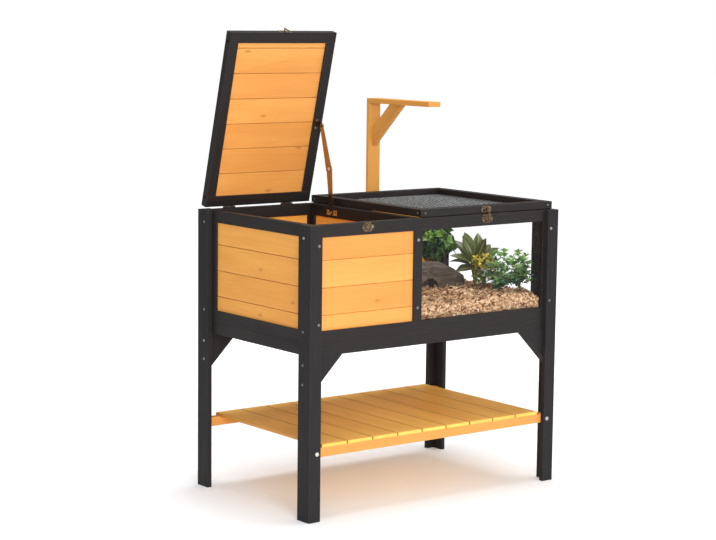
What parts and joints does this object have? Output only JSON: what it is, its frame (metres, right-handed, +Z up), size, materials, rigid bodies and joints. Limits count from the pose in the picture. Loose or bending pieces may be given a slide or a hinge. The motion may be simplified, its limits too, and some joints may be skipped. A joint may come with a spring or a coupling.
{
  "type": "reptile terrarium",
  "caption": "Wooden table terrarium on four legs with a boarded hide bay, a glazed living bay, a solid lid, a mesh lid, a slatted shelf and a lamp holder.",
  "frame": {"origin": "centre of the whole object's box at the floor, between the feet", "axes": "+X to the right along the front, +Y to the back, +Z up; the windows and latches face -Y"},
  "size_m": [0.924, 0.586, 1.3619],
  "materials": {
    "black_painted_wood": "satin near-black paint over sawn softwood, with worn edges",
    "orange_pine": "satin orange-stained pine with soft grain and knots",
    "plywood": "bare plywood",
    "clear_glazing": "clear, polished",
    "galvanised_wire": "dull galvanised",
    "antique_brass": "antique brown brass plating",
    "zinc_screws": "bright zinc plating",
    "wood_chips": "pale dry chips",
    "rock": "rough brown stone",
    "leafy_plant_leaves": "soft green leaves",
    "croton_plant_leaves": "green and yellow leaves",
    "small_leaf_plant_leaves": "pale green leaves"
  },
  "bodies": {
    "cabinet": {"leg_face_boards": "black_painted_wood", "leg_side_boards": "black_painted_wood", "leg_gussets": "black_painted_wood", "front_rails": "black_painted_wood", "front_stiles": "black_painted_wood", "front_planks": "orange_pine", "front_window": "clear_glazing", "left_rails": "black_painted_wood", "left_stiles": "black_painted_wood", "left_planks": "orange_pine", "right_rails": "black_painted_wood", "right_stiles": "black_painted_wood", "right_window": "clear_glazing", "back_rails": "black_painted_wood", "back_stiles": "black_painted_wood", "back_planks": "orange_pine", "apron_front": "black_painted_wood", "apron_back": "black_painted_wood", "apron_sides": "black_painted_wood", "floor_panel": "plywood", "floor_battens": "orange_pine", "divider_rails": "black_painted_wood", "divider_stiles": "black_painted_wood", "divider_planks": "orange_pine", "shelf_rails": "orange_pine", "shelf_slats": "orange_pine", "lamp_spacers": "orange_pine", "lamp_post": "orange_pine", "lamp_arm": "orange_pine", "lamp_brace": "orange_pine", "cabinet_hinge_leaves": "antique_brass", "hinge_pins": "antique_brass", "stay_base_bracket": "antique_brass", "left_latch_keeper": "antique_brass", "mesh_latch_keeper": "antique_brass", "cabinet_screws": "zinc_screws", "shelf_bolts": "zinc_screws", "bedding": "wood_chips", "rock_hide": "rock", "leafy_plant": "leafy_plant_leaves", "croton_plant": "croton_plant_leaves", "small_leaf_plant": "small_leaf_plant_leaves"},
    "left_lid": {"left_lid_rails": "black_painted_wood", "left_lid_stiles": "black_painted_wood", "left_lid_planks": "orange_pine", "left_lid_hinge_leaves": "antique_brass", "stay_lid_bracket": "antique_brass", "left_latch_plate": "antique_brass", "left_lid_screws": "zinc_screws"},
    "mesh_lid": {"mesh_lid_rails": "black_painted_wood", "mesh_lid_stiles": "black_painted_wood", "wire_mesh": "galvanised_wire", "mesh_lid_hinge_leaves": "antique_brass", "mesh_latch_plate": "antique_brass", "mesh_lid_screws": "zinc_screws"},
    "stay_lower_link": {"stay_lower_link": "antique_brass"},
    "stay_upper_link": {"stay_upper_link": "antique_brass"},
    "left_latch_hook": {"left_latch_hook": "antique_brass"},
    "mesh_latch_hook": {"mesh_latch_hook": "antique_brass"}
  },
  "joints": [
    {"name": "left_lid_hinge", "type": "hinge", "parent": "cabinet", "child": "left_lid", "pos_m": [-0.2525, 0.2641, 0.83075], "axis": [1, 0, 0], "range_deg": [0, 75.5]},
    {"name": "mesh_lid_hinge", "type": "hinge", "parent": "cabinet", "child": "mesh_lid", "pos_m": [0.197, 0.2641, 0.83075], "axis": [1, 0, 0], "range_deg": [-42, 0]},
    {"name": "stay_lower_pivot", "type": "hinge", "parent": "cabinet", "child": "stay_lower_link", "pos_m": [-0.07875, 0.1305, 0.811], "axis": [1, 0, 0], "range_deg": [0, 160.1]},
    {"name": "stay_upper_pivot", "type": "hinge", "parent": "left_lid", "child": "stay_upper_link", "pos_m": [-0.08055, 0.18092, 1.0685], "axis": [1, 0, 0], "range_deg": [-32.3, 0]},
    {"name": "left_latch_pivot", "type": "hinge", "parent": "left_lid", "child": "left_latch_hook", "pos_m": [-0.2465, 0.13964, 1.35891], "axis": [0, 0.2504, -0.9681], "range_deg": [-100, 22]},
    {"name": "mesh_latch_pivot", "type": "hinge", "parent": "mesh_lid", "child": "mesh_latch_hook", "pos_m": [0.194, -0.2784, 0.8425], "axis": [0, 1, 0], "range_deg": [-100, 22]}
  ],
  "couplings": [
    {"joint": "stay_lower_pivot", "follows": "left_lid_hinge", "ratio": 2.1158},
    {"joint": "stay_upper_pivot", "follows": "left_lid_hinge", "ratio": -0.42205}
  ]
}
